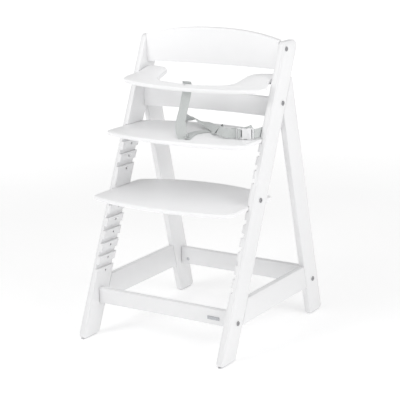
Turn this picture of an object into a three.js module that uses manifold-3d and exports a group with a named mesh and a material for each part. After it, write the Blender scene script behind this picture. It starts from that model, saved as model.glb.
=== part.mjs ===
// Wooden high chair with an A-frame. The front legs lean back and carry horizontal grooves in
// their inner faces, in which the seat plate and the foot plate slide. Millimetres, +Z up, the
// front of the chair faces -Y and +X is on the right of somebody who looks at the front.
import * as THREE from 'three';
import { mergeVertices } from 'three/addons/utils/BufferGeometryUtils.js';
import Module from 'manifold-3d';

const wasm = await Module();
wasm.setup();

// Driving dimensions
const WIDTH = 450;                 // over the outer faces of the legs
const BOARD = 18;                  // thickness of legs, bars and cross bars
const PLY = 12;                    // thickness of seat, foot and table boards
const GAP = 0.3;                   // left between pieces that touch
const EDGE = 3;                    // rounding of the board edges
const GLIDE = 2.5;                 // thickness of the felt glides
const BOLT_HOLE = 3.3;             // radius of a bolt's clearance hole
const PILOT = 2.3;                 // radius of a screw's pilot hole
const DOWEL_HOLE = 4.3;            // radius of a dowel's hole

const LEAN = 0.441;                // front leg: run back per unit of height
const FRONT_DEPTH = 73.9;          // front leg, measured level
const LEG_TOP = 779;
const REAR_FOOT = 544.7;           // rear edge of the rear leg at the floor
const REAR_LEAN = 0.237;           // rear leg: run forward per unit of height
const REAR_DEPTH = 68.1;           // rear leg, measured level

const PITCH = 32.34;               // from groove to groove
const GROOVE = 12.6;               // groove height
const GROOVE_CUT = 8;              // groove depth
const LOWER_GROOVE = 182.7;        // height of the lowest groove
const UPPER_GROOVE = 441.7;        // height of the lowest groove for the seat
const LOWER_COUNT = 7;
const UPPER_COUNT = 4;
const HOLE = 6.5;                  // blind hole between two grooves
const HOLE_OFFSET = 37.9;          // behind the front edge of the leg
const TENON = { length: 18, radius: 5, hole: 5.3 };

// Side bars and crossbars: lower and upper edges, and the front face of each crossbar
const SIDE_BAR = { low: 84, high: 149 };
const CROSSBARS = {
  front_crossbar: { y: 78, low: 84, high: 127, nutSide: 1 },
  rear_crossbar: { y: 480, low: 86, high: 136, nutSide: -1 },
};

// Plates: front and rear edge in the middle, and how far the ends of the rear edge curve forward
const SEAT_PLATE = { front: 112, rear: 361, sag: 48 };
const FOOT_PLATE = { front: 45, rear: 347, sag: 57 };

// Backrest boards: front face at the ends, lower edge, upper edge at the ends, height of the arch
const BACKRESTS = {
  upper: { front: 341.7, low: 705.4, high: 782, arch: 21.5 },
  lower: { front: 320.9, low: 585, high: 635, arch: 0 },
};
const LABEL = { x: 158, z: 103, width: 36, height: 9, thick: 1 };

const TABLE_SLOPE = Math.atan(0.2235);
const TABLE_FRONT = new THREE.Vector3(0, 210, 665);

const HALF = WIDTH / 2;
const INNER = HALF - BOARD;        // inner face of the legs
const PLATE_HALF = INNER + GROOVE_CUT - 0.6;
const FOOT_Z = LOWER_GROOVE + (LOWER_COUNT - 1) * PITCH;
const SEAT_Z = UPPER_GROOVE + (UPPER_COUNT - 1) * PITCH;
const SEAT_TOP = SEAT_Z - GROOVE / 2 + GAP + PLY;
const BASE = GLIDE + GAP;          // underside of the legs

// Bolt axes, as distance from the front of the foot (y) and height (z)
const BOLTS = {
  back_upper: { y: 349.7, z: 759.8, reach: 22 },
  back_lower: { y: 328.9, z: 622.2, reach: 22 },
  foot_lock: { y: 209, z: 391, reach: -4.5 },
  front_crossbar: { y: 87.1, z: 97, reach: 36 },
  rear_crossbar: { y: 489, z: 101.9, reach: 36 },
};

const SIDES = { left: -1, right: 1 };

const white = new THREE.MeshStandardMaterial({ color: 0xf4f4f5, roughness: 0.45, metalness: 0 });
const steel = new THREE.MeshStandardMaterial({ color: 0x6d6f73, roughness: 0.4, metalness: 1 });
const zinc = new THREE.MeshStandardMaterial({ color: 0xb9bcc0, roughness: 0.35, metalness: 1 });
const webbing = new THREE.MeshStandardMaterial({ color: 0xbfc6c4, roughness: 0.9, metalness: 0 });
const plastic = new THREE.MeshStandardMaterial({ color: 0xeeeeee, roughness: 0.4, metalness: 0 });
const felt = new THREE.MeshStandardMaterial({ color: 0xb8b8ba, roughness: 0.95, metalness: 0 });
const beech = new THREE.MeshStandardMaterial({ color: 0xd8b98c, roughness: 0.7, metalness: 0 });

const chair = new THREE.Group();

function piece(name, geometry, material) {
  const mesh = new THREE.Mesh(geometry, material);
  mesh.name = name;
  chair.add(mesh);
  return mesh;
}

// ---------- solids ----------

function solid(geometry) {
  const bare = geometry.clone();
  bare.deleteAttribute('normal');
  bare.deleteAttribute('uv');
  const merged = mergeVertices(bare, 1e-3);
  return new wasm.Manifold(new wasm.Mesh({
    numProp: 3,
    vertProperties: new Float32Array(merged.attributes.position.array),
    triVerts: new Uint32Array(merged.index.array),
  }));
}

function geometryOf(body) {
  const mesh = body.getMesh();
  const geometry = new THREE.BufferGeometry();
  geometry.setAttribute('position', new THREE.BufferAttribute(new Float32Array(mesh.vertProperties), 3));
  geometry.setIndex(new THREE.BufferAttribute(new Uint32Array(mesh.triVerts), 1));
  geometry.computeVertexNormals();
  return geometry;
}

function cut(body, tools) {
  let rest = solid(body);
  for (const tool of tools) rest = rest.subtract(solid(tool));
  return geometryOf(rest);
}

// A closed outline through corners given as [x, y, radius of the corner].
function outline(corners) {
  const shape = new THREE.Shape();
  corners.forEach(([x, y, radius], i) => {
    const here = new THREE.Vector2(x, y);
    const before = new THREE.Vector2(...corners.at(i - 1).slice(0, 2)).sub(here).normalize();
    const after = new THREE.Vector2(...corners[(i + 1) % corners.length].slice(0, 2)).sub(here).normalize();
    const halfAngle = Math.acos(THREE.MathUtils.clamp(before.dot(after), -1, 1)) / 2;
    const start = here.clone().addScaledVector(before, radius / Math.tan(halfAngle));
    if (i === 0) shape.moveTo(start.x, start.y);
    else shape.lineTo(start.x, start.y);
    if (radius === 0) return;
    const end = here.clone().addScaledVector(after, radius / Math.tan(halfAngle));
    const inward = before.clone().add(after).setLength(radius / Math.sin(halfAngle));
    const centre = here.clone().add(inward);
    const from = start.sub(centre).angle();
    const to = end.sub(centre).angle();
    shape.absarc(centre.x, centre.y, radius, from, to, before.cross(after) > 0);
  });
  shape.closePath();
  return shape;
}

// A board of the given thickness with rounded edges, its faces at z = 0 and z = thickness.
function board(shape, thickness, edge, segments = 4) {
  const geometry = new THREE.ExtrudeGeometry(shape, {
    depth: thickness - 2 * edge,
    curveSegments: segments,
    bevelEnabled: edge > 0,
    bevelThickness: edge,
    bevelSize: edge,
    bevelOffset: -edge,
    bevelSegments: 2,
  });
  return geometry.translate(0, 0, edge);
}

// Turns a board drawn as (y, z) so that its thickness runs from x0 towards +X.
function upright(geometry, x0) {
  const turn = new THREE.Matrix4().makeBasis(
    new THREE.Vector3(0, 1, 0), new THREE.Vector3(0, 0, 1), new THREE.Vector3(1, 0, 0));
  return geometry.applyMatrix4(turn).translate(x0, 0, 0);
}

// A round bar from one point to another.
function rod(from, to, radius, sides = 20) {
  const a = new THREE.Vector3(...from);
  const b = new THREE.Vector3(...to);
  const along = b.clone().sub(a);
  const geometry = new THREE.CylinderGeometry(radius, radius, along.length(), sides);
  const turn = new THREE.Quaternion().setFromUnitVectors(new THREE.Vector3(0, 1, 0), along.normalize());
  const middle = a.clone().add(b).multiplyScalar(0.5);
  return geometry.applyQuaternion(turn).translate(middle.x, middle.y, middle.z);
}

function block(x0, x1, y0, y1, z0, z1) {
  return new THREE.BoxGeometry(x1 - x0, y1 - y0, z1 - z0)
    .translate((x0 + x1) / 2, (y0 + y1) / 2, (z0 + z1) / 2);
}

// Mirrors a point given for the right-hand side.
const sided = (side, [x, y, z]) => [side * x, y, z];

// ---------- legs and bars ----------

const frontEdge = (z) => LEAN * z;
const rearEdge = (z) => REAR_FOOT - REAR_LEAN * z;
const mitreAt = (inset) => (REAR_FOOT - inset - FRONT_DEPTH) / (LEAN + REAR_LEAN);

// Unit vectors in the plane of a side: along the front leg, and square to it towards the rear.
const legRun = new THREE.Vector2(LEAN, 1).normalize();
const legNormal = new THREE.Vector2(legRun.y, -legRun.x);

function mitrePoint(z, offset) {
  const y = frontEdge(z) + FRONT_DEPTH + offset * legNormal.x;
  return [y, z + offset * legNormal.y];
}

const DOWELS = { lower: 640, upper: 666 };
const DOWEL_REACH = { lower: 13, upper: 9 };

function boltHoles(side, names, radius) {
  return names.map((name) => {
    const { y, z } = BOLTS[name];
    return rod(sided(side, [INNER - 2, y, z]), sided(side, [HALF + 2, y, z]), radius, 16);
  });
}

const MID_BOARD = HALF - BOARD / 2;
const TENON_Z = (SIDE_BAR.low + SIDE_BAR.high) / 2;

function tenon(side, y, from, to, radius) {
  return rod([side * MID_BOARD, y + from, TENON_Z], [side * MID_BOARD, y + to, TENON_Z], radius, 16);
}

const tenonFront = frontEdge(TENON_Z) + FRONT_DEPTH;
const tenonRear = rearEdge(TENON_Z) - REAR_DEPTH;

function frontLeg(side) {
  const shape = outline([
    [frontEdge(BASE), BASE, 9],
    [frontEdge(BASE) + FRONT_DEPTH, BASE, 5],
    [frontEdge(LEG_TOP) + FRONT_DEPTH, LEG_TOP, 17],
    [frontEdge(LEG_TOP), LEG_TOP, 14],
  ]);
  const body = upright(board(shape, BOARD, EDGE, 3), side > 0 ? INNER : -HALF);
  const tools = [];
  const groove = (z) => {
    const inside = side > 0 ? [INNER - 5, INNER + GROOVE_CUT] : [-INNER - GROOVE_CUT, -INNER + 5];
    const y = frontEdge(z);
    tools.push(block(...inside, y - 15, y + FRONT_DEPTH + 15, z - GROOVE / 2, z + GROOVE / 2));
  };
  const ribHole = (z) => {
    const y = frontEdge(z) + HOLE_OFFSET;
    tools.push(rod(sided(side, [INNER - 2, y, z]), sided(side, [INNER + 10, y, z]), HOLE / 2, 14));
  };
  for (let k = 0; k < LOWER_COUNT; k += 1) {
    groove(LOWER_GROOVE + k * PITCH);
    ribHole(LOWER_GROOVE - 15 + k * PITCH);
  }
  for (let k = 0; k < UPPER_COUNT; k += 1) {
    groove(UPPER_GROOVE + k * PITCH);
    ribHole(UPPER_GROOVE - 15.7 + k * PITCH);
  }
  tools.push(...boltHoles(side, ['back_upper', 'back_lower', 'front_crossbar'], BOLT_HOLE));
  const lock = BOLTS.foot_lock;
  const blind = INNER + 3;
  const lockHole = [blind, HALF + 2].map((x) => [side * x, lock.y, lock.z]);
  tools.push(rod(...lockHole, BOLT_HOLE, 16));
  for (const [name, z] of Object.entries(DOWELS)) {
    const start = mitrePoint(z, -DOWEL_REACH[name] - 0.5);
    const end = mitrePoint(z, 5);
    tools.push(rod([side * MID_BOARD, ...start], [side * MID_BOARD, ...end], DOWEL_HOLE, 14));
  }
  tools.push(tenon(side, tenonFront, -TENON.length - 1, 5, TENON.hole));
  tools.push(rod(...tableScrew(side, 'bracket', INNER - 3, 12), PILOT, 10));
  if (side > 0) tools.push(legHole());
  return cut(body, tools);
}

function rearLeg(side) {
  const tip = mitreAt(0);
  const apex = mitreAt(REAR_DEPTH);
  const shape = outline([
    [rearEdge(BASE) - REAR_DEPTH, BASE, 5],
    [rearEdge(BASE), BASE, 9],
    [rearEdge(tip) + GAP, tip, 5],
    [rearEdge(apex) - REAR_DEPTH + GAP, apex, 0],
  ]);
  const body = upright(board(shape, BOARD, EDGE), side > 0 ? INNER : -HALF);
  const tools = [...boltHoles(side, ['rear_crossbar'], BOLT_HOLE)];
  for (const [name, z] of Object.entries(DOWELS)) {
    const start = mitrePoint(z, -5);
    const end = mitrePoint(z, DOWEL_REACH[name] + 0.5);
    tools.push(rod([side * MID_BOARD, ...start], [side * MID_BOARD, ...end], DOWEL_HOLE, 14));
  }
  tools.push(tenon(side, tenonRear, -5, TENON.length + 1, TENON.hole));
  return cut(body, tools);
}

function sideBar(side) {
  const front = (z) => frontEdge(z) + FRONT_DEPTH + GAP;
  const rear = (z) => rearEdge(z) - REAR_DEPTH - GAP;
  const shape = outline([
    [front(SIDE_BAR.low), SIDE_BAR.low, 0],
    [rear(SIDE_BAR.low), SIDE_BAR.low, 0],
    [rear(SIDE_BAR.high), SIDE_BAR.high, 0],
    [front(SIDE_BAR.high), SIDE_BAR.high, 0],
  ]);
  const body = solid(upright(board(shape, BOARD, EDGE), side > 0 ? INNER : -HALF));
  const first = solid(tenon(side, tenonFront, -TENON.length, 12, TENON.radius));
  const last = solid(tenon(side, tenonRear, -12, TENON.length, TENON.radius));
  return geometryOf(body.add(first).add(last));
}

const NUT_X = INNER - 24;
const NUT = { length: 13, radius: 5, hole: 5.3, sunk: 0.6 };

// A hole or nut across a crossbar, from `from` to `to` under the face that shows the nut.
function acrossBar(bar, side, from, to, radius) {
  const { y, low, high, nutSide } = CROSSBARS[bar];
  const face = nutSide > 0 ? y + BOARD : y;
  const { z } = BOLTS[bar];
  const x = side * NUT_X;
  if (z < low || z > high) throw new Error(`the bolt misses ${bar}`);
  return rod([x, face - nutSide * from, z], [x, face - nutSide * to, z], radius, 20);
}

function crossbar(bar) {
  const { y: face, low, high } = CROSSBARS[bar];
  const end = INNER - GAP;
  const corners = [[-end, low, 0], [end, low, 0], [end, high, 0], [-end, high, 0]];
  const body = board(outline(corners), BOARD, EDGE).rotateX(Math.PI / 2).translate(0, face + BOARD, 0);
  const { y, z, reach } = BOLTS[bar];
  const tools = [];
  for (const side of Object.values(SIDES)) {
    tools.push(rod([side * (end - reach - 2), y, z], [side * (end + 3), y, z], BOLT_HOLE, 16));
    tools.push(acrossBar(bar, side, -3, NUT.length + 1, NUT.hole));
  }
  return cut(body, tools);
}

// A barrel nut lies across the bar, a little under its face, and takes the end of the bolt.
function barrelNut(bar, side) {
  const { y: face, nutSide } = CROSSBARS[bar];
  const mouth = nutSide > 0 ? face + BOARD : face;
  const { y, z } = BOLTS[bar];
  const x = side * NUT_X;
  const slot = block(x - 4, x + 4, mouth - 1.6, mouth + 1.6, z - 0.6, z + 0.6);
  const thread = rod([x - 9, y, z], [x + 9, y, z], BOLT_HOLE, 16);
  return cut(acrossBar(bar, side, NUT.sunk, NUT.length + NUT.sunk, NUT.radius), [thread, slot]);
}

// Socket-head bolt from the outer face inwards: a low round head with a hexagon socket.
function bolt(side, { y, z, reach }) {
  const head = 6.4;
  const shank = 3;
  const length = BOARD + GAP + reach;
  const profile = [
    [0, 0], [head - 0.6, 0], [head, 0.5], [head, 1.4], [head - 0.8, 2.1], [0, 2.3],
  ].map(([r, h]) => new THREE.Vector2(r, h));
  const stem = new THREE.CylinderGeometry(shank, shank, length, 10).translate(0, 0.4 - length / 2, 0);
  const socket = new THREE.CylinderGeometry(2.6, 2.6, 3.2, 6).translate(0, 2.3, 0);
  const whole = solid(new THREE.LatheGeometry(profile, 18)).add(solid(stem)).subtract(solid(socket));
  const turn = new THREE.Matrix4().makeRotationZ(-side * Math.PI / 2);
  return geometryOf(whole).applyMatrix4(turn).translate(side * (HALF + GAP), y, z);
}

function glide(y0, y1) {
  const shape = outline([[-6, y0, 4], [6, y0, 4], [6, y1, 4], [-6, y1, 4]]);
  return board(shape, GLIDE, 0.6, 1);
}

function labelPlate() {
  const w = LABEL.width / 2;
  const h = LABEL.height / 2;
  const shape = outline([[-w, -h, 1], [w, -h, 1], [w, h, 1], [-w, h, 1]]);
  const face = CROSSBARS.front_crossbar.y - GAP;
  return board(shape, LABEL.thick, 0.2, 1).rotateX(Math.PI / 2).translate(LABEL.x, face, LABEL.z);
}

// ---------- seat, foot and back ----------

// Outline of a seat or foot plate: bowed front and rear edges and straight parallel sides.
function plate({ front, rear, sag }, z) {
  const w = PLATE_HALF;
  const steps = 12;
  const bow = (x) => Math.abs(x / w) ** 2.2;
  const edgeLine = (base, drop, dir) => {
    const points = [];
    for (let i = 0; i <= steps; i += 1) {
      const x = dir * w * (2 * i / steps - 1);
      points.push([x, base + drop * bow(x)]);
    }
    return points;
  };
  const ahead = edgeLine(front, 32, 1);
  const behind = edgeLine(rear, -sag, -1);
  const corners = [...ahead, ...behind].map(([x, y]) => [x, y, Math.abs(Math.abs(x) - w) < 0.1 ? 26 : 0]);
  return board(outline(corners), PLY, 4, 3).translate(0, 0, z);
}

const BACK = 16;                   // thickness of the backrest boards
const BACK_SAG = 16.5;             // how far the middle lies behind the ends

// A curved backrest board: a bowed band cut to its height, the top edge arched by `arch`.
function backrest(level) {
  const { front, low: z0, high: zEnd, arch } = BACKRESTS[level];
  const half = INNER - GAP;
  const steps = 20;
  const bow = (x) => BACK_SAG * (1 - (x / half) ** 2);
  const rim = (y0, dir) => Array.from({ length: steps + 1 }, (_, i) => {
    const x = dir * half * (2 * i / steps - 1);
    return new THREE.Vector2(x, y0 + bow(x));
  });
  const band = new THREE.Shape([...rim(front, 1), ...rim(front + BACK, -1)]);
  const depth = zEnd + arch - z0 + 10;
  const tall = new THREE.ExtrudeGeometry(band, { depth, bevelEnabled: false }).translate(0, 0, z0 - 5);
  const topLine = Array.from({ length: 15 }, (_, i) => {
    const x = half * (1 - 2 * i / 14);
    return new THREE.Vector2(x, zEnd + arch * (1 - Math.abs(x / half) ** 2.4));
  });
  const face = new THREE.Shape([
    new THREE.Vector2(-half - 1, z0), new THREE.Vector2(half + 1, z0),
    new THREE.Vector2(half + 1, zEnd), ...topLine, new THREE.Vector2(-half - 1, zEnd)]);
  const screen = new THREE.ExtrudeGeometry(face, { depth: 120, bevelEnabled: false })
    .rotateX(Math.PI / 2).translate(0, front + 80, 0);
  let body = solid(tall).intersect(solid(screen));
  const { y, z, reach } = BOLTS[`back_${level}`];
  for (const side of Object.values(SIDES)) {
    const bore = rod([side * (INNER - reach - 1), y, z], [side * (INNER + 3), y, z], BOLT_HOLE, 14);
    body = body.subtract(solid(bore));
  }
  return geometryOf(body);
}

// ---------- table board ----------

// Places a geometry drawn in the table's own plane: x across, y back along the slope, z square to it.
function onTable(geometry) {
  return geometry.rotateX(TABLE_SLOPE).translate(TABLE_FRONT.x, TABLE_FRONT.y, TABLE_FRONT.z);
}

const TABLE_BACK = 30;             // depth of the narrow middle
const TABLE_ARM = 140;             // from the front of the middle to the ends of the arms
const TABLE_IN = 203;              // half width between the legs

// Half outline from the middle of the front edge round the arm to the middle of the rear edge.
function tableOutline() {
  const shape = new THREE.Shape();
  const half = [
    ['curve', [120, 1], [192, 19]],
    ['curve', [219, 24], [220, 40]],
    ['curve', [220, 54], [212, 66]],
    ['curve', [205, 76], [TABLE_IN, 88]],
    ['line', [TABLE_IN, TABLE_ARM - 10]],
    ['curve', [TABLE_IN, TABLE_ARM], [TABLE_IN - 10, TABLE_ARM]],
    ['line', [155, TABLE_ARM - 6]],
    ['curve', [132, TABLE_ARM - 9], [127, TABLE_ARM - 32]],
    ['line', [121, 62]],
    ['curve', [119, 45], [96, 39]],
    ['curve', [60, TABLE_BACK], [0, TABLE_BACK - 1]],
  ];
  shape.moveTo(0, 0);
  for (const [kind, a, b] of half) {
    if (kind === 'line') shape.lineTo(...a);
    else shape.quadraticCurveTo(...a, ...b);
  }
  const mirror = shape.getPoints(3).reverse().slice(1, -1);
  for (const point of mirror) shape.lineTo(-point.x, point.y);
  shape.closePath();
  return shape;
}

const BRACKET = { from: 98, to: 122, screw: 110 };

// The two screws of a bracket: one into the leg, one up into the arm. Ends of their axes.
function tableScrew(side, kind, start, length) {
  const v = BRACKET.screw;
  const local = kind === 'bracket'
    ? [[start, v, -PLY - 11], [start + 3 + length, v, -PLY - 11]]
    : [[INNER - 14, v, -PLY - start], [INNER - 14, v, -PLY + length]];
  return local.map(([x, y, z]) => {
    const point = new THREE.Vector3(side * x, y, z).applyAxisAngle(new THREE.Vector3(1, 0, 0), TABLE_SLOPE);
    return point.add(TABLE_FRONT).toArray();
  });
}

const strapHole = () => rod([STRAP_TOP.x, 226, STRAP_TOP.z], [STRAP_TOP.x, 250, STRAP_TOP.z], PILOT, 10);

function tableBoard() {
  const top = onTable(board(tableOutline(), PLY, 3, 3).translate(0, 0, -PLY));
  const screws = Object.values(SIDES).map((side) => rod(...tableScrew(side, 'table', 3, 9), PILOT, 10));
  return cut(top, [...screws, strapHole()]);
}

function tableBracket(side) {
  const out = INNER - GAP;
  const shape = outline([
    [out - 22, -PLY - GAP, 0], [out - 22, -PLY - GAP - 2, 0], [out - 2, -PLY - GAP - 2, 0],
    [out - 2, -PLY - 20, 0], [out, -PLY - 20, 0], [out, -PLY - GAP, 0],
  ]);
  const angle = new THREE.ExtrudeGeometry(shape, { depth: BRACKET.to - BRACKET.from, bevelEnabled: false });
  const turned = angle.rotateX(Math.PI / 2).translate(0, BRACKET.to, 0);
  const body = solid(onTable(turned));
  const placed = side > 0 ? body : body.mirror([1, 0, 0]);
  const holes = ['bracket', 'table'].map((kind) => {
    const start = kind === 'bracket' ? INNER - 12 : 12;
    return solid(rod(...tableScrew(side, kind, start, 12), PILOT, 10));
  });
  return geometryOf(placed.subtract(holes[0]).subtract(holes[1]));
}

// A round-head wood screw from `head` towards `tip`, its head `gap` in front of the surface.
function woodScrew(head, tip, radius = 4) {
  const a = new THREE.Vector3(...head);
  const along = new THREE.Vector3(...tip).sub(a);
  const length = along.length();
  const profile = [
    [0, 0], [radius * 0.7, 0.3], [radius, 1.4], [radius, 2], [1.9, 2], [1.9, length - 3], [0, length],
  ].map(([r, h]) => new THREE.Vector2(r, h));
  const turn = new THREE.Quaternion().setFromUnitVectors(new THREE.Vector3(0, 1, 0), along.normalize());
  return new THREE.LatheGeometry(profile, 14).applyQuaternion(turn).translate(a.x, a.y, a.z);
}

// ---------- harness ----------

const WEB = 1.8;                   // thickness of the webbing
const WEB_WIDTH = 25;
const BELT_Z = SEAT_TOP + 2 + WEB_WIDTH / 2;
const BELT_ANCHOR = { y: 300, z: BELT_Z };
const STRAP_TOP = { x: -12, z: 668 };
const SEAT_SCREW = { x: -98.5, y: 334 };

function seatHole() {
  const { x, y } = SEAT_SCREW;
  return rod([x, y, SEAT_TOP - PLY - 6], [x, y, SEAT_TOP - 3.2], PILOT, 10);
}

function legHole() {
  const { y, z } = BELT_ANCHOR;
  return rod([INNER - 6, y, z], [INNER + 12, y, z], PILOT, 10);
}

const strapScrew = () => woodScrew([STRAP_TOP.x, 246.6, STRAP_TOP.z], [STRAP_TOP.x, 228, STRAP_TOP.z]);

function legScrew() {
  const { y, z } = BELT_ANCHOR;
  return woodScrew([INNER - 5.2, y, z], [INNER + 11, y, z]);
}

function seatScrew() {
  const { x, y } = SEAT_SCREW;
  return woodScrew([x, y, SEAT_TOP - PLY - 5.2], [x, y, SEAT_TOP - 4]);
}

const curveThrough = (points) => new THREE.CatmullRomCurve3(points, false, 'centripetal');

// A strap along points [x, y, z, across x, y, z], where across points over its width.
function ribbon(stations, steps, width = WEB_WIDTH) {
  const path = curveThrough(stations.map((s) => new THREE.Vector3(s[0], s[1], s[2])));
  const sides = curveThrough(stations.map((s) => new THREE.Vector3(s[3], s[4], s[5])));
  const positions = [];
  for (let i = 0; i <= steps; i += 1) {
    const t = i / steps;
    const centre = path.getPoint(t);
    const run = path.getTangent(t);
    const across = sides.getPoint(t);
    across.addScaledVector(run, -across.dot(run)).setLength(width / 2);
    const up = new THREE.Vector3().crossVectors(run, across).setLength(WEB / 2);
    for (const [a, b] of [[-1, -1], [1, -1], [1, 1], [-1, 1]]) {
      const point = centre.clone().addScaledVector(across, a).addScaledVector(up, b);
      positions.push(point.x, point.y, point.z);
    }
  }
  const index = [];
  const quad = (a, b, c, d) => index.push(a, b, c, a, c, d);
  for (let i = 0; i < steps; i += 1) {
    for (let j = 0; j < 4; j += 1) {
      const next = (j + 1) % 4;
      quad(4 * i + j, 4 * i + next, 4 * i + 4 + next, 4 * i + 4 + j);
    }
  }
  quad(3, 2, 1, 0);
  quad(4 * steps, 4 * steps + 1, 4 * steps + 2, 4 * steps + 3);
  const geometry = new THREE.BufferGeometry();
  geometry.setAttribute('position', new THREE.Float32BufferAttribute(positions, 3));
  geometry.setIndex(index);
  geometry.computeVertexNormals();
  return geometry;
}

// Routes of the straps. The hanging strap leaves the rear edge of the table board, bows forward
// and ends just over the seat; the seat part lies on the seat and runs back under the belt.
const flat = [1, 0, 0];
const upwards = [0, 0, 1];
const LIE = SEAT_TOP + GAP + WEB / 2;

const STRAP_UPPER = [
  [-12, 241.0, 677, ...flat], [-12, 243.6, 663, ...flat], [-13, 242, 650, ...flat],
  [-14, 235, 628, ...flat], [-14, 224, 603, ...flat], [-9, 204, 580, ...flat],
  [8, 178, 561, ...flat], [26, 158, 551, 1, 0.2, 0],
];
const STRAP_LOWER = [
  [36, 146, LIE, 1, -0.6, 0], [28, 166, LIE, 1, -0.3, 0], [22, 192, LIE, ...flat],
  [23, 220, LIE, 1, 0.1, 0], [32, 246, LIE, 1, -0.2, 0],
];
const BELT_LEFT = [
  [146.3, 196.9, BELT_Z, ...upwards], [128, 196.5, BELT_Z + 2, 0, 0.3, 1],
  [104, 212, BELT_Z + 2, 0, 0.6, 1], [78, 240, BELT_Z - 2, 0, 1, 0.6], [48, 268, BELT_Z - 4, 0.1, 1, 0.4],
  [18, 288, BELT_Z - 3, 0, 1, 0.3], [-18, 307, BELT_Z + 0.5, -0.42, 0.9, -0.14],
  [-44, 322, BELT_Z + 3.3, -0.53, 0.81, -0.25],
  [-66, 327.5, BELT_Z + 2.6, -0.55, 0.5, -0.65], [-88, 331.5, SEAT_TOP + 15, -0.35, 0.1, -1],
  [-100, 345.5, SEAT_TOP + 6, -1, -0.2, -0.3], [-101, 357, SEAT_TOP - 3, -1, -0.2, 0],
  [-101, 357, SEAT_TOP - 9, -1, -0.2, 0], [-100, 350, SEAT_TOP - PLY - 1.6, -1, -0.2, 0],
  [-97, 326, SEAT_TOP - PLY - 1.6, -1, -0.2, 0],
];
const BELT_RIGHT = [
  [202, 217, BELT_Z, ...upwards], [204.6, 230, BELT_Z, ...upwards], [205.2, 250, BELT_Z, ...upwards],
  [205.2, 285, BELT_Z, ...upwards], [205.2, 312, BELT_Z, ...upwards],
];
const BELT_TAIL = [
  [145, 205.2, BELT_Z + 1, ...upwards], [158, 209.8, BELT_Z + 2, ...upwards],
  [171.5, 214.8, BELT_Z + 3, ...upwards], [183, 219.5, BELT_Z + 6, -0.25, 0.1, 1],
  [190, 224, BELT_Z + 11, -0.6, 0.2, 0.8],
];

const BUCKLE = { x: 174.2, y: 206.7, z: SEAT_TOP + 15.4, turn: 0.34, half: 14.6 };
const SOCKET = { from: 1, to: 28, thick: 9 };
const PLUG = { from: -13.5, to: -3.5, thick: 5 };
const PRONG = { in: 8.7, out: 12.2, tip: 12, thick: 3.8 };
const WEB_SLOT = 12.9;             // half the length of the slots for the webbing

// Places a buckle piece drawn with x along the belt towards the leg and y through its thickness.
function inBelt(body) {
  return body.rotateZ(BUCKLE.turn).translate(BUCKLE.x, BUCKLE.y, BUCKLE.z);
}

// A buckle board drawn from `from` to `to` along the belt, rounded in its corners.
function buckleBoard({ from, to, thick }, bevel) {
  const h = BUCKLE.half;
  const shape = outline([[from, -h, 4], [to, -h, 4], [to, h, 4], [from, h, 4]]);
  return board(shape, thick, bevel, 3).rotateX(Math.PI / 2).translate(0, thick / 2, 0);
}

function buckleSocket() {
  const space = PRONG.out + 0.5;
  const mouth = block(SOCKET.from - 3, PRONG.tip + 2, -2.4, 2.4, -space, space);
  const loop = block(SOCKET.to - 6, SOCKET.to - 3.5, -6, 6, -WEB_SLOT, WEB_SLOT);
  return inBelt(cut(buckleBoard(SOCKET, 2), [mouth, loop]));
}

function bucklePlug() {
  const slot = solid(block(PLUG.from + 3, PLUG.to - 3, -6, 6, -WEB_SLOT, WEB_SLOT));
  let body = solid(buckleBoard(PLUG, 1.2)).subtract(slot);
  for (const side of Object.values(SIDES)) {
    const low = Math.min(side * PRONG.in, side * PRONG.out);
    const high = low + PRONG.out - PRONG.in;
    const prong = block(PLUG.to - 1.5, PRONG.tip, -PRONG.thick / 2, PRONG.thick / 2, low, high);
    body = body.add(solid(prong));
  }
  return inBelt(geometryOf(body));
}

// ---------- assembly ----------

for (const [name, side] of Object.entries(SIDES)) {
  piece(`front_leg_${name}`, frontLeg(side), white);
  piece(`rear_leg_${name}`, rearLeg(side), white);
  piece(`side_bar_${name}`, sideBar(side), white);
  for (const [level, z] of Object.entries(DOWELS)) {
    const reach = DOWEL_REACH[level];
    const ends = [-reach, reach].map((d) => [side * MID_BOARD, ...mitrePoint(z, d)]);
    piece(`mitre_dowel_${level}_${name}`, rod(...ends, 4, 14), beech);
  }
  for (const [where, place] of Object.entries(BOLTS)) {
    piece(`bolt_${where}_${name}`, bolt(side, place), steel);
  }
  piece(`barrel_nut_front_${name}`, barrelNut('front_crossbar', side), zinc);
  piece(`barrel_nut_rear_${name}`, barrelNut('rear_crossbar', side), zinc);
  const frontGlide = glide(8, FRONT_DEPTH - 6);
  piece(`glide_front_${name}`, frontGlide.translate(side * MID_BOARD, 0, 0), felt);
  const rearGlide = glide(REAR_FOOT - REAR_DEPTH + 6, REAR_FOOT - 9);
  piece(`glide_rear_${name}`, rearGlide.translate(side * MID_BOARD, 0, 0), felt);
  piece(`table_bracket_${name}`, tableBracket(side), zinc);
  piece(`bracket_screw_${name}`, woodScrew(...tableScrew(side, 'bracket', INNER - 4.8, 10)), zinc);
  piece(`table_screw_${name}`, woodScrew(...tableScrew(side, 'table', 4.8, 8)), zinc);
}
piece('front_crossbar', crossbar('front_crossbar'), white);
piece('rear_crossbar', crossbar('rear_crossbar'), white);
piece('backrest_upper', backrest('upper'), white);
piece('backrest_lower', backrest('lower'), white);
piece('seat_plate', cut(plate(SEAT_PLATE, SEAT_TOP - PLY), [seatHole()]), white);
piece('foot_plate', plate(FOOT_PLATE, FOOT_Z - GROOVE / 2 + GAP), white);
piece('table_board', tableBoard(), white);
piece('label_plate', labelPlate(), zinc);

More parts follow.
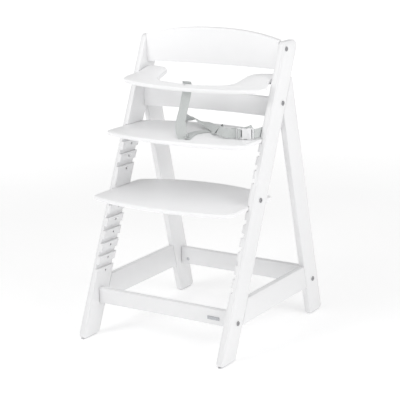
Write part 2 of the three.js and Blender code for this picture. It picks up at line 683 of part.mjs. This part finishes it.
piece('crotch_strap_upper', cut(ribbon(STRAP_UPPER, 26), [strapHole()]), webbing);
piece('crotch_strap_lower', ribbon(STRAP_LOWER, 12), webbing);
piece('waist_belt_left', cut(ribbon(BELT_LEFT, 66), [seatHole()]), webbing);
piece('waist_belt_right', cut(ribbon(BELT_RIGHT, 14), [legHole()]), webbing);
piece('waist_belt_tail', ribbon(BELT_TAIL, 12), webbing);
piece('crotch_strap_screw', strapScrew(), zinc);
piece('belt_screw_leg', legScrew(), zinc);
piece('belt_screw_seat', seatScrew(), zinc);
piece('buckle_socket', buckleSocket(), plastic);
piece('buckle_plug', bucklePlug(), plastic);

const middle = new THREE.Box3().setFromObject(chair).getCenter(new THREE.Vector3());
chair.position.y = -middle.y;

export default chair;
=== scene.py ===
import math

import bmesh
import bpy
from mathutils import Matrix, Vector


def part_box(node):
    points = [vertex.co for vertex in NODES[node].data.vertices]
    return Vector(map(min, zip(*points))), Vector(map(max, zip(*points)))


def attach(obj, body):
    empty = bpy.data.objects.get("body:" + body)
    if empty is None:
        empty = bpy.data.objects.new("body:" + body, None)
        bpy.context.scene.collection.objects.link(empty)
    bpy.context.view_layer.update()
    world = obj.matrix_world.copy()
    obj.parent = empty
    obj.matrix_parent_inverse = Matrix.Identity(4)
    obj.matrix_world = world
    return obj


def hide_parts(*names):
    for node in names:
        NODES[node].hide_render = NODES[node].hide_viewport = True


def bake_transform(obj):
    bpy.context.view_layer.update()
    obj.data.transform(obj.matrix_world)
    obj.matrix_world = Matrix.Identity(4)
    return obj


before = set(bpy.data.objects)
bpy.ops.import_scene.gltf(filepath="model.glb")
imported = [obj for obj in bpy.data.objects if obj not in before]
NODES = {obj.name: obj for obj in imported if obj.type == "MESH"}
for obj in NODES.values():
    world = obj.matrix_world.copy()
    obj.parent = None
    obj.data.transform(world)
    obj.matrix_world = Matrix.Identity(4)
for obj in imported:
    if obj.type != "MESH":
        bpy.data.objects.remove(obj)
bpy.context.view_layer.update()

MM = 0.001
TOE = 273.865  # mm from the front toe, where the strap routes start, to the middle of the footprint
SEAT_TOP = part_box("seat_plate")[1].z / MM
SMOOTH_BELOW = math.radians(34)  # an edge with a smaller angle is shaded smooth


def add(name, data):
    """A new object in the scene."""
    made = bpy.data.objects.new(name, data)
    bpy.context.scene.collection.objects.link(made)
    return made


# ---------- camera, light, floor ----------

def camera():
    """The camera at the photograph's viewing angle, from the front right and a little above."""
    data = bpy.data.cameras.new("camera")
    data.sensor_width = 36.0
    data.lens = 116.513
    data.clip_end = 100.0
    cam = add("camera", data)
    place = (1.83982, -2.82525, 1.22127)
    right = Vector((0.8410053, 0.5404645, -0.0246606))
    up = Vector((-0.1151969, 0.2234189, 0.9678913))
    back = Vector((0.5286206, -0.8111609, 0.2501563))
    turn = Matrix((right, up, back)).transposed().to_4x4()
    cam.matrix_world = Matrix.Translation(place) @ turn
    bpy.context.scene.camera = cam


def area(name, place, target, size, power):
    data = bpy.data.lights.new(name, "AREA")
    data.shape = "RECTANGLE"
    data.size, data.size_y = size
    data.energy = power
    light = add(name, data)
    light.location = place
    light.rotation_euler = (Vector(place) - Vector(target)).to_track_quat("Z", "Y").to_euler()


def studio():
    world = bpy.data.worlds.new("studio")
    bpy.context.scene.world = world
    world.use_nodes = True
    background = world.node_tree.nodes["Background"]
    background.inputs["Color"].default_value = (1.0, 1.0, 1.0, 1.0)
    background.inputs["Strength"].default_value = 0.56
    area("key", (3.4, -0.5, 1.9), (0, 0, 0.4), (3.0, 3.0), 43)
    area("top", (-0.3, -0.6, 3.4), (0, 0, 0.4), (2.2, 2.2), 12)
    area("front_high", (-1.0, -1.9, 2.0), (0, 0, 0.5), (1.1, 1.1), 13)
    area("front_low", (-0.9, -2.8, 0.9), (0, 0, 0.5), (1.8, 1.0), 4)
    bpy.context.scene.view_settings.view_transform = "Standard"


FLOOR_HALF = 40.0


def floor():
    """A pale floor that glows more with distance, so that the background is white."""
    signs = ((-1, -1), (1, -1), (1, 1), (-1, 1))
    mesh = bpy.data.meshes.new("floor")
    mesh.from_pydata([(x * FLOOR_HALF, y * FLOOR_HALF, 0) for x, y in signs], [], [(0, 1, 2, 3)])
    plane = add("floor", mesh)
    m = Stuff("studio_floor")
    m.colour_between((0.93, 0.93, 0.93), (0.96, 0.96, 0.96), m.noise(1.5, 3))
    m.shader.inputs["Roughness"].default_value = 0.7
    m.shader.inputs["Emission Color"].default_value = (1.0, 1.0, 1.0, 1.0)
    m.link(m.radial(1.0, 4.0, 0.24, 0.60), m.shader.inputs["Emission Strength"])
    mesh.materials.append(m.material)


# ---------- materials ----------

NOISE_LOW, NOISE_HIGH = 0.3, 0.7       # most values of a noise lie between these
COLOUR_A, COLOUR_B, COLOUR_OUT = 6, 7, 2  # sockets of the Mix node when it mixes colours


class Stuff:
    """A procedural material, with the nodes that most finishes need."""

    def __init__(self, name):
        self.material = bpy.data.materials.new(name)
        self.material.use_nodes = True
        self.tree = self.material.node_tree
        self.shader = self.tree.nodes["Principled BSDF"]
        self.coords = self.node("ShaderNodeTexCoord").outputs["Object"]

    def node(self, kind, **settings):
        made = self.tree.nodes.new(kind)
        for key, value in settings.items():
            setattr(made, key, value)
        return made

    def link(self, a, b):
        self.tree.links.new(a, b)

    def math(self, operation, a, b=0.0):
        made = self.node("ShaderNodeMath", operation=operation)
        for socket, value in zip(made.inputs, (a, b)):
            if isinstance(value, (int, float)):
                socket.default_value = value
            else:
                self.link(value, socket)
        return made.outputs[0]

    def turned(self, along):
        """Object coordinates turned so that their Z runs along a direction."""
        turn = Vector(along).normalized().rotation_difference(Vector((0, 0, 1))).to_euler()
        made = self.node("ShaderNodeMapping", vector_type="POINT")
        made.inputs["Rotation"].default_value = turn
        self.link(self.coords, made.inputs["Vector"])
        return made.outputs[0]

    def scaled(self, source, scale):
        made = self.node("ShaderNodeVectorMath", operation="MULTIPLY")
        self.link(source, made.inputs[0])
        made.inputs[1].default_value = scale
        return made.outputs[0]

    def noise(self, scale, detail=4.0, roughness=0.5, source=None):
        made = self.node("ShaderNodeTexNoise")
        made.inputs["Scale"].default_value = scale
        made.inputs["Detail"].default_value = detail
        made.inputs["Roughness"].default_value = roughness
        self.link(source or self.coords, made.inputs["Vector"])
        return made.outputs["Fac"]

    def mapped(self, value, start, end, low, high, **settings):
        """A value taken from the range start to end into the range low to high."""
        made = self.node("ShaderNodeMapRange", **settings)
        names = ("From Min", "From Max", "To Min", "To Max")
        for name, number in zip(names, (start, end, low, high)):
            made.inputs[name].default_value = number
        self.link(value, made.inputs["Value"])
        return made.outputs[0]

    def radial(self, near, far, low, high):
        """A value that grows from `low` to `high` between two distances from the object's origin."""
        length = self.node("ShaderNodeVectorMath", operation="LENGTH")
        self.link(self.coords, length.inputs[0])
        return self.mapped(length.outputs["Value"], near, far, low, high, interpolation_type="SMOOTHSTEP")

    def spread(self, factor, low, high):
        """A noise spread over the range low to high."""
        return self.mapped(factor, NOISE_LOW, NOISE_HIGH, low, high)

    def colour_between(self, a, b, factor):
        made = self.node("ShaderNodeMix", data_type="RGBA")
        made.inputs[COLOUR_A].default_value = (*a, 1)
        made.inputs[COLOUR_B].default_value = (*b, 1)
        self.link(self.spread(factor, 0, 1), made.inputs[0])
        self.link(made.outputs[COLOUR_OUT], self.shader.inputs["Base Color"])

    def rough_between(self, low, high, factor):
        self.link(self.spread(factor, low, high), self.shader.inputs["Roughness"])

    def bump(self, *layers):
        """layers are (height factor, height in metres)."""
        normal = None
        for height, depth in layers:
            made = self.node("ShaderNodeBump")
            made.inputs["Strength"].default_value = 1.0
            made.inputs["Distance"].default_value = depth
            self.link(height, made.inputs["Height"])
            if normal is not None:
                self.link(normal, made.inputs["Normal"])
            normal = made.outputs[0]
        self.link(normal, self.shader.inputs["Normal"])


LACQUER_GREYS = (0.81, 0.84)
LACQUER_BLUE = 0.006
# plates, table and backrests are lighter by this, to match the photo's brightness
PAINTED_BOARD_LIGHT = 0.08     # painted light: plates, table and backrests are made lighter by this, to reach the brightness that fuller light would give them
PLY_PITCH = 0.0024    # metres from ply to ply


def lacquer(name, along, plies=False, painted_light=0.0):
    """White lacquer over wood whose grain runs along a direction."""
    m = Stuff(name)
    grain = m.noise(1.0, 5, 0.55, m.scaled(m.turned(along), (420.0, 420.0, 14.0)))
    cloud = m.noise(6.0, 3)
    spray = m.noise(900.0, 2)
    # Both greys are raised by the lift passed in, which is painted light on the boards.
    dark, light = [(v + painted_light, v + painted_light, v + painted_light + LACQUER_BLUE) for v in LACQUER_GREYS]
    m.colour_between(dark, light, cloud)
    m.rough_between(0.33, 0.44, grain)
    layers = [(grain, 0.00006), (spray, 0.00002)]
    if plies:
        z = m.node("ShaderNodeSeparateXYZ")
        m.link(m.coords, z.inputs[0])
        wave = m.math("SINE", m.math("MULTIPLY", z.outputs["Z"], 2 * math.pi / PLY_PITCH))
        layers.append((wave, 0.00008))
    m.bump(*layers)
    m.shader.inputs["Coat Weight"].default_value = 0.25
    m.shader.inputs["Coat Roughness"].default_value = 0.28
    return m.material


def metal(name, dark, light, rough, along=(0, 0, 1), metallic=1.0):
    m = Stuff(name)
    brushed = m.noise(1.0, 3, 0.5, m.scaled(m.turned(along), (5000.0, 5000.0, 300.0)))
    m.colour_between(dark, light, m.noise(300.0, 3))
    m.shader.inputs["Metallic"].default_value = metallic
    m.rough_between(*rough, brushed)
    m.bump((brushed, 0.00001))
    return m.material


def felt():
    m = Stuff("felt_fibres")
    fibres = m.noise(1400.0, 5, 0.7)
    m.colour_between((0.60, 0.60, 0.61), (0.76, 0.76, 0.77), fibres)
    m.shader.inputs["Roughness"].default_value = 0.95
    m.shader.inputs["Sheen Weight"].default_value = 0.4
    m.bump((fibres, 0.0003))
    return m.material


def beech():
    m = Stuff("bare_beech")
    grain = m.noise(1.0, 4, 0.6, m.scaled(m.coords, (700.0, 700.0, 60.0)))
    m.colour_between((0.52, 0.35, 0.19), (0.66, 0.48, 0.29), grain)
    m.rough_between(0.5, 0.65, grain)
    m.bump((grain, 0.00005))
    return m.material


def plastic():
    m = Stuff("moulded_plastic")
    m.colour_between((0.80, 0.80, 0.81), (0.85, 0.85, 0.86), m.noise(40.0, 3))
    texture = m.noise(2600.0, 2)
    m.rough_between(0.30, 0.42, texture)
    m.bump((texture, 0.00002))
    m.shader.inputs["Subsurface Weight"].default_value = 0.05
    m.shader.inputs["Subsurface Radius"].default_value = (0.002, 0.002, 0.002)
    return m.material


RIB_PITCH = 1.5   # mm, from rib to rib across the webbing
WEFT_PITCH = 1.3  # mm, from thread to thread along it


def woven():
    """Webbing: fine ribs along the strap, and the weft's herringbone across them. Its map is in mm."""
    m = Stuff("woven_webbing")
    parts = m.node("ShaderNodeSeparateXYZ")
    m.link(m.node("ShaderNodeUVMap", uv_map="strap").outputs[0], parts.inputs[0])
    u, v = parts.outputs["X"], parts.outputs["Y"]
    chevron = m.math("PINGPONG", u, RIB_PITCH * 3)
    slant = m.math("SINE", m.math("MULTIPLY", m.math("ADD", v, chevron), 2 * math.pi / WEFT_PITCH))
    ribs = m.math("SINE", m.math("MULTIPLY", u, 2 * math.pi / RIB_PITCH))
    weave = m.math("ADD", m.math("MULTIPLY", slant, 0.6), m.math("MULTIPLY", ribs, 0.4))
    lifted = m.math("ADD", m.math("MULTIPLY", weave, 0.5), 0.5)
    fuzz = m.noise(2600.0, 4, 0.65)
    mixed = m.math("ADD", m.math("MULTIPLY", lifted, 0.75), m.math("MULTIPLY", fuzz, 0.25))
    m.colour_between((0.50, 0.522, 0.515), (0.67, 0.692, 0.684), mixed)
    m.shader.inputs["Roughness"].default_value = 0.85
    m.shader.inputs["Sheen Weight"].default_value = 0.25
    m.bump((lifted, 0.00022), (fuzz, 0.00008))
    return m.material


# ---------- CAD nodes ----------

def smoother():
    """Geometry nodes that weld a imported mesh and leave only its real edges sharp."""
    group = bpy.data.node_groups.new("weld_and_smooth", "GeometryNodeTree")
    for way in ("INPUT", "OUTPUT"):
        group.interface.new_socket("Geometry", in_out=way, socket_type="NodeSocketGeometry")
    start = group.nodes.new("NodeGroupInput")
    weld = group.nodes.new("GeometryNodeMergeByDistance")
    weld.inputs["Distance"].default_value = 0.000002
    angle = group.nodes.new("GeometryNodeInputMeshEdgeAngle")
    below = group.nodes.new("ShaderNodeMath")
    below.operation = "LESS_THAN"
    below.inputs[1].default_value = SMOOTH_BELOW
    shade = group.nodes.new("GeometryNodeSetShadeSmooth")
    shade.domain = "EDGE"
    end = group.nodes.new("NodeGroupOutput")
    link = group.links.new
    link(start.outputs[0], weld.inputs["Geometry"])
    link(weld.outputs["Geometry"], shade.inputs["Geometry"])
    link(angle.outputs["Unsigned Angle"], below.inputs[0])
    link(below.outputs[0], shade.inputs["Shade Smooth"])
    link(shade.outputs["Geometry"], end.inputs[0])
    return group


def dress(node, material, group):
    o = NODES[node]
    mesh = o.data
    if "custom_normal" in mesh.attributes:
        mesh.attributes.remove(mesh.attributes["custom_normal"])
    mesh.polygons.foreach_set("use_smooth", [True] * len(mesh.polygons))
    modifier = o.modifiers.new("weld_and_smooth", "NODES")
    modifier.node_group = group
    for material_slot in o.material_slots:
        material_slot.material = material


ACROSS = (1, 0, 0)
FRONT_TO_BACK = (0, 1, 0)
FRONT_LEG_RUN = (0, 0.441, 1)
REAR_LEG_RUN = (0, -0.237, 1)

# The first of these that a node's name holds says which finish it gets.
KINDS = [
    ("bolt_", "bolt"),
    ("front_leg", "front_leg"),
    ("rear_leg", "rear_leg"),
    ("side_bar", "side_bar"),
    ("crossbar", "crossbar"),
    ("seat_plate", "plate"),
    ("foot_plate", "plate"),
    ("table_board", "plate"),
    ("backrest", "backrest"),
    ("dowel", "dowel"),
    ("barrel_nut", "zinc"),
    ("screw", "zinc"),
    ("table_bracket", "zinc"),
    ("label_plate", "label"),
    ("glide", "felt"),
    ("buckle", "plastic"),
    ("strap", "webbing"),
    ("belt", "webbing"),
]


def finishes():
    steel = ((0.27, 0.27, 0.28), (0.38, 0.38, 0.39), (0.45, 0.6))
    zinc = ((0.55, 0.56, 0.58), (0.70, 0.71, 0.73), (0.25, 0.42))
    label = ((0.42, 0.43, 0.45), (0.52, 0.53, 0.55), (0.35, 0.5))
    return {
        "front_leg": lacquer("lacquer_front_leg", FRONT_LEG_RUN),
        "rear_leg": lacquer("lacquer_rear_leg", REAR_LEG_RUN),
        "side_bar": lacquer("lacquer_side_bar", FRONT_TO_BACK),
        "crossbar": lacquer("lacquer_crossbar", ACROSS),
        # The plywood and backrest lacquers are lighter copies of the same lacquer: painted light.
        "plate": lacquer("lacquer_plywood", ACROSS, plies=True, painted_light=PAINTED_BOARD_LIGHT),
        "backrest": lacquer("lacquer_backrest", ACROSS, painted_light=PAINTED_BOARD_LIGHT),
        "dowel": beech(),
        "bolt": metal("burnished_steel", *steel, ACROSS, metallic=0.3),
        "zinc": metal("zinc_plate", *zinc, ACROSS),
        "label": metal("brushed_label", *label, ACROSS),
        "felt": felt(),
        "plastic": plastic(),
        "webbing": woven(),
    }


def dress_frame(finish):
    group = smoother()
    for node in NODES:
        kind = next(name for part, name in KINDS if part in node)
        dress(node, finish[kind], group)


# ---------- webbing ----------

WEB_WIDTH = 25.0     # mm
CROTCH_WIDTH = 28.0  # mm
WEB = 1.5            # mm thick


def point(x, y, z):
    """A place in mm, with y from the front toe, in the row frame in metres."""
    return Vector((x, y - TOE, z)) * MM


def catmull(points, t):
    """A centripetal Catmull-Rom curve through the points, at t from 0 to 1."""
    last = len(points) - 1
    place = min(t * last, last - 1e-9)
    i = int(place)
    w = place - i
    p1, p2 = points[i], points[i + 1]
    p0 = points[i - 1] if i > 0 else p1 * 2 - p2
    p3 = points[i + 2] if i + 2 <= last else p2 * 2 - p1
    d1 = max((p1 - p0).length ** 0.5, 1e-6)
    d2 = max((p2 - p1).length ** 0.5, 1e-6)
    d3 = max((p3 - p2).length ** 0.5, 1e-6)
    m1 = ((p1 - p0) / d1 - (p2 - p0) / (d1 + d2) + (p2 - p1) / d2) * d2
    m2 = ((p2 - p1) / d2 - (p3 - p1) / (d2 + d3) + (p3 - p2) / d3) * d2
    start = p1 * (2 * w**3 - 3 * w**2 + 1) + m1 * (w**3 - 2 * w**2 + w)
    return start + p2 * (3 * w**2 - 2 * w**3) + m2 * (w**3 - w**2)


def section(width):
    """Points (across, up) round a strap's cross section: flat faces between round selvedges."""
    half, r = width / 2, WEB / 2
    top = [(half - r - (width - 2 * r) * i / 8, r) for i in range(9)]
    turns = (math.pi / 4, math.pi / 2, 3 * math.pi / 4)
    left = [(-half + r - r * math.sin(a), r * math.cos(a)) for a in turns]
    bottom = [(-x, -y) for x, y in top]
    right = [(-x, -y) for x, y in left]
    return top + left + bottom + right


NUDGE = 0.004  # how far along the route, of 1, its direction is taken on each side


def along_route(stations, steps):
    """The middle, the directions across and up, and the length so far, at each step along a strap."""
    path = [Vector(s[:3]) for s in stations]
    sides = [Vector(s[3:]) for s in stations]
    length = 0.0
    before = catmull(path, 0)
    for i in range(steps + 1):
        t = i / steps
        centre = catmull(path, t)
        run = (catmull(path, min(1, t + NUDGE)) - catmull(path, max(0, t - NUDGE))).normalized()
        across = catmull(sides, t)
        across = (across - run * across.dot(run)).normalized()
        length += (centre - before).length
        before = centre
        yield centre, across, run.cross(across), length


def as_object(name, mesh, material):
    data = bpy.data.meshes.new(name)
    mesh.to_mesh(data)
    mesh.free()
    data.materials.append(material)
    return add(name, data)


def strap(name, stations, steps, material, width=WEB_WIDTH):
    """A strap along stations (x, y, z, across x, y, z) in mm, with a map in mm along it."""
    ring = section(width)
    mesh = bmesh.new()
    uv = mesh.loops.layers.uv.new("strap")
    rows, lengths = [], []
    for centre, across, up, length in along_route(stations, steps):
        rows.append([mesh.verts.new(point(*(centre + across * a + up * b))) for a, b in ring])
        lengths.append(length)
    for i in range(steps):
        for j in range(len(ring)):
            k = (j + 1) % len(ring)
            corners = ((i, j), (i, k), (i + 1, k), (i + 1, j))
            face = mesh.faces.new([rows[row][place] for row, place in corners])
            face.smooth = True
            for loop, (row, place) in zip(face.loops, corners):
                loop[uv].uv = (ring[place][0] + width / 2, lengths[row])
    for row in (rows[0][::-1], rows[-1]):
        mesh.faces.new(row)
    bmesh.ops.recalc_face_normals(mesh, faces=mesh.faces)
    return as_object(name, mesh, material)


FLAT = (1, 0, 0)
UPRIGHT = (0, 0, 1)
BELT_Z = SEAT_TOP + 2 + WEB_WIDTH / 2
LIE = SEAT_TOP + 0.3 + WEB / 2
PLATE = 12.0  # mm, thickness of the seat plate
BUCKLE = Vector((174.2, 206.7, SEAT_TOP + 15.4))
BUCKLE_TURN = 0.34


def by_buckle(along, behind=0.0, up=0.0):
    """A place in mm on the buckle's own axes: along the belt towards the leg, behind it, and up."""
    c, s = math.cos(BUCKLE_TURN), math.sin(BUCKLE_TURN)
    return (BUCKLE.x + along * c - behind * s, BUCKLE.y + along * s + behind * c, BUCKLE.z + up)


# The hanging strap leaves the rear edge of the table board, bows forward, lands on the seat and
# turns back under the belt.
CROTCH = [
    (-12, 241.0, 677, *FLAT), (-12, 243.6, 663, *FLAT), (-13, 242, 650, *FLAT), (-14, 235, 628, *FLAT),
    (-14, 224, 603, *FLAT), (-9, 204, 580, *FLAT), (9, 176, 560, 1, 0.1, 0), (26, 157, 551, 1, 0.2, 0),
    (37, 147, LIE + 1.2, 1, 0.25, 0), (41, 147.5, LIE + 0.3, 1, 0.3, 0), (37, 160, LIE, 1, 0.2, 0),
    (26, 190, LIE, *FLAT), (23, 220, LIE, 1, 0.1, 0), (34, 248, LIE, 1, -0.2, 0), (52, 268, LIE, 1, -0.5, 0),
]

# Through the plug's two slots, across the seat, over its rear edge and under it.
BELT_LEFT = [
    (*by_buckle(-5.8, 3.7), *UPRIGHT), (*by_buckle(-4.9, 1.6), *UPRIGHT),
    (*by_buckle(-4.9, -1.8), *UPRIGHT), (*by_buckle(-6.4, -3.6), *UPRIGHT),
    (*by_buckle(-8.8, -3.6), *UPRIGHT), (*by_buckle(-10.4, -1.6), *UPRIGHT),
    (*by_buckle(-10.8, 2.0), *UPRIGHT), (*by_buckle(-13.5, 3.6), *UPRIGHT),
    (147.3, 198.6, BELT_Z, *UPRIGHT), (128, 196.5, BELT_Z + 2, 0, 0.3, 1),
    (104, 212, BELT_Z + 2, 0, 0.6, 1), (78, 240, BELT_Z - 2, 0, 1, 0.6),
    (48, 268, BELT_Z - 4, 0.1, 1, 0.4), (18, 288, BELT_Z - 3, 0, 1, 0.3),
    (-18, 307, BELT_Z + 0.5, -0.42, 0.9, -0.14), (-44, 322, BELT_Z + 3.3, -0.53, 0.81, -0.25),
    (-66, 327.5, BELT_Z + 2.6, -0.55, 0.5, -0.65), (-88, 331.5, SEAT_TOP + 15, -0.35, 0.1, -1),
    (-100, 345.5, SEAT_TOP + 6, -1, -0.2, -0.3), (-101, 357, SEAT_TOP - 3, -1, -0.2, 0),
    (-101, 357, SEAT_TOP - 9, -1, -0.2, 0), (-100, 350, SEAT_TOP - PLATE - 1.6, -1, -0.2, 0),
    (-97, 326, SEAT_TOP - PLATE - 1.6, -1, -0.2, 0),
]

# From the socket's loop slot back along the right leg.
BELT_RIGHT = [
    (*by_buckle(26.4, 0.6), *UPRIGHT), (*by_buckle(28.2, 5.0), *UPRIGHT),
    (202.2, 223.5, BELT_Z + 0.5, *UPRIGHT), (204.6, 233, BELT_Z, *UPRIGHT),
    (205.2, 250, BELT_Z, *UPRIGHT), (205.2, 285, BELT_Z, *UPRIGHT), (205.2, 312, BELT_Z, *UPRIGHT),
]

# The belt's loose end, behind the buckle.
BELT_TAIL = [
    (145, 205.2, BELT_Z + 1, *UPRIGHT), (158, 209.8, BELT_Z + 2, *UPRIGHT),
    (171.5, 214.8, BELT_Z + 3, *UPRIGHT), (186, 221.0, BELT_Z + 6, -0.25, 0.1, 1),
    (196, 226.5, BELT_Z + 12.5, -0.75, 0.25, 0.6),
]


def loop_round_belt():
    """A slanting loop of webbing that the waist belt runs through."""
    half_height = 15.0
    half_depth = 2.6
    lean = 0.45
    corners = 16
    centre = Vector((84.0, 233.0, BELT_Z - 1.2))
    run = Vector((0.66, -0.72, 0.08)).normalized()
    across = Vector((0, 0.86, 0.51))
    across = (across - run * across.dot(run)).normalized()
    square = run.cross(across)
    slant = run + across * lean
    stations = []
    for k in range(corners + 1):
        angle = 2 * math.pi * k / corners - math.pi / 2
        place = centre + across * half_height * math.cos(angle) + square * half_depth * math.sin(angle)
        stations.append((*place, *slant))
    return stations


def harness(material):
    crotch = strap("webbing_crotch", CROTCH, 150, material, width=CROTCH_WIDTH)
    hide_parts("crotch_strap_upper", "crotch_strap_lower")
    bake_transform(crotch)
    left = strap("webbing_belt_left", BELT_LEFT, 190, material)
    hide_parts("waist_belt_left")
    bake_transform(left)
    right = strap("webbing_belt_right", BELT_RIGHT, 60, material)
    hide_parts("waist_belt_right")
    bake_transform(right)
    tail = strap("webbing_belt_tail", BELT_TAIL, 44, material)
    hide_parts("waist_belt_tail")
    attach(tail, "seat")
    loop = strap("webbing_loop", loop_round_belt(), 72, material)
    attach(loop, "seat")


# ---------- buckle ----------

def rounded(corners, steps=5):
    """A closed outline through corners (x, y, radius of the corner)."""
    points = []
    for i, (x, y, radius) in enumerate(corners):
        here = Vector((x, y))
        before = (Vector(corners[i - 1][:2]) - here).normalized()
        after = (Vector(corners[(i + 1) % len(corners)][:2]) - here).normalized()
        if radius == 0:
            points.append(here)
            continue
        half = before.angle(after) / 2
        centre = here + (before + after).normalized() * (radius / math.sin(half))
        start = here + before * (radius / math.tan(half)) - centre
        end = here + after * (radius / math.tan(half)) - centre
        sweep = start.angle_signed(end)
        for k in range(steps + 1):
            points.append(centre + Matrix.Rotation(-sweep * k / steps, 2) @ start)
    return points


def box(x0, x1, y0, y1, radius=0.8):
    return rounded([(x0, y0, radius), (x1, y0, radius), (x1, y1, radius), (x0, y1, radius)])


def hole(*sides):
    """A box drawn the other way round, which opens the plate that it lies in."""
    return box(*sides)[::-1]


def layer(outlines, near, far, bevel):
    """A plate drawn along and up the buckle, between two depths, with rounded edges. All in mm."""
    curve = bpy.data.curves.new("layer", "CURVE")
    curve.dimensions = "2D"
    curve.fill_mode = "BOTH"
    curve.extrude = (far - near) / 2 - bevel
    curve.bevel_depth = bevel
    curve.bevel_resolution = 2
    curve.offset = -bevel
    for outline in outlines:
        spline = curve.splines.new("POLY")
        spline.points.add(len(outline) - 1)
        spline.use_cyclic_u = True
        for knot, place in zip(spline.points, outline):
            knot.co = (place[0], place[1], 0, 1)
    o = add("layer", curve)
    bpy.context.view_layer.update()
    mesh = bpy.data.meshes.new_from_object(o.evaluated_get(bpy.context.evaluated_depsgraph_get()))
    bpy.data.objects.remove(o)
    bpy.data.curves.remove(curve)
    mesh.transform(Matrix.Translation((0, 0, (near + far) / 2)))
    return mesh


def moulding(name, layers, material):
    """A moulded piece of the buckle, from plates laid over each other."""
    mesh = bmesh.new()
    for spec in layers:
        data = layer(*spec)
        mesh.from_mesh(data)
        bpy.data.meshes.remove(data)
    bmesh.ops.remove_doubles(mesh, verts=mesh.verts, dist=0.001)
    for vertex in mesh.verts:
        along, up, behind = vertex.co
        vertex.co = point(*by_buckle(along, behind, up))
    bmesh.ops.recalc_face_normals(mesh, faces=mesh.faces)
    for face in mesh.faces:
        face.smooth = True
    for edge in mesh.edges:
        edge.smooth = edge.calc_face_angle(0) < SMOOTH_BELOW
    return as_object(name, mesh, material)


# All in mm on the buckle's own axes: the socket starts just past 0, and the plug's frame lies before it.
BUCKLE_HALF = 14.6
WINDOW_HALF = 12.8       # half the width left between the side windows
WEB_SLOT = 12.9          # half the length of the slots for the webbing
SOCKET_END = 30
SOCKET_FACE = (2.2, 4.5)
SOCKET_CORE = 2.9
GRIP_RIBS = (15.4, 17.2, 19.0)
PLUG_BACK, PLUG_FRONT = -13.5, -2.4


def socket_layers():
    """Two outer faces, the closed rear half, a middle web, two side walls and the grip ribs."""
    h = BUCKLE_HALF
    inner, outer = SOCKET_FACE
    shell = rounded([
        (1, -h, 2), (5, -h, 1), (6, -WINDOW_HALF, 1), (13, -WINDOW_HALF, 1),
        (14.2, -h, 1.2), (SOCKET_END, -h, 3.5), (SOCKET_END, h, 3.5), (14.2, h, 1.2),
        (13, WINDOW_HALF, 1), (6, WINDOW_HALF, 1), (5, h, 1), (1, h, 2),
    ])
    slot = hole(25.0, 27.8, -WEB_SLOT, WEB_SLOT, 1.2)
    rear_half = rounded([(14.6, -h, 1), (SOCKET_END, -h, 3.5), (SOCKET_END, h, 3.5), (14.6, h, 1)])
    layers = [
        ([shell, slot], -outer, -inner, 0.7),
        ([shell, slot], inner, outer, 0.7),
        ([rear_half, slot], -SOCKET_CORE, SOCKET_CORE, 0.3),
        ([box(4, 16, -5.6, 5.6)], -SOCKET_CORE, SOCKET_CORE, 0.3),
        ([box(1.6, 4.6, -h + 0.4, -h + 1.7, 0.4)], -SOCKET_CORE, SOCKET_CORE, 0.2),
        ([box(1.6, 4.6, h - 1.7, h - 0.4, 0.4)], -SOCKET_CORE, SOCKET_CORE, 0.2),
    ]
    for x in GRIP_RIBS:
        layers.append(([box(x - 0.35, x + 0.35, -8.5, 8.5, 0.3)], -4.85, -4.2, 0.2))
    return layers


def prong(side):
    """The outline of one barbed prong."""
    outline = rounded([
        (-3.6, side * 10.2, 0), (-3.6, side * 13.6, 0), (-0.5, side * 13.0, 2), (6.6, side * 12.6, 0.8),
        (7.4, side * 14.1, 0.7), (10.5, side * 13.7, 1.5), (12.6, side * 11.0, 1), (11.6, side * 9.8, 0.6),
        (1, side * 10.4, 2),
    ])
    return outline if side > 0 else outline[::-1]


def plug_layers():
    """The plug's frame with its two slots, and the prongs."""
    h = BUCKLE_HALF
    outline = rounded([
        (PLUG_BACK, -h, 2.6), (PLUG_FRONT, -h, 1.6), (PLUG_FRONT, h, 1.6), (PLUG_BACK, h, 2.6),
    ])
    slots = [hole(x0, x1, -WEB_SLOT, WEB_SLOT, 1.0) for x0, x1 in ((-11.7, -9.3), (-6.0, -3.8))]
    layers = [([outline, *slots], -2.5, 2.5, 0.7)]
    for side in (-1, 1):
        layers.append(([prong(side)], -1.9, 1.9, 0.4))
    return layers


def buckle(material):
    socket = moulding("buckle_socket_moulding", socket_layers(), material)
    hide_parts("buckle_socket")
    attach(socket, "seat")
    plug = moulding("buckle_plug_moulding", plug_layers(), material)
    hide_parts("buckle_plug")
    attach(plug, "plug")


# ---------- scene ----------

camera()
studio()
floor()
FINISH = finishes()
dress_frame(FINISH)
harness(FINISH["webbing"])
buckle(FINISH["plastic"])
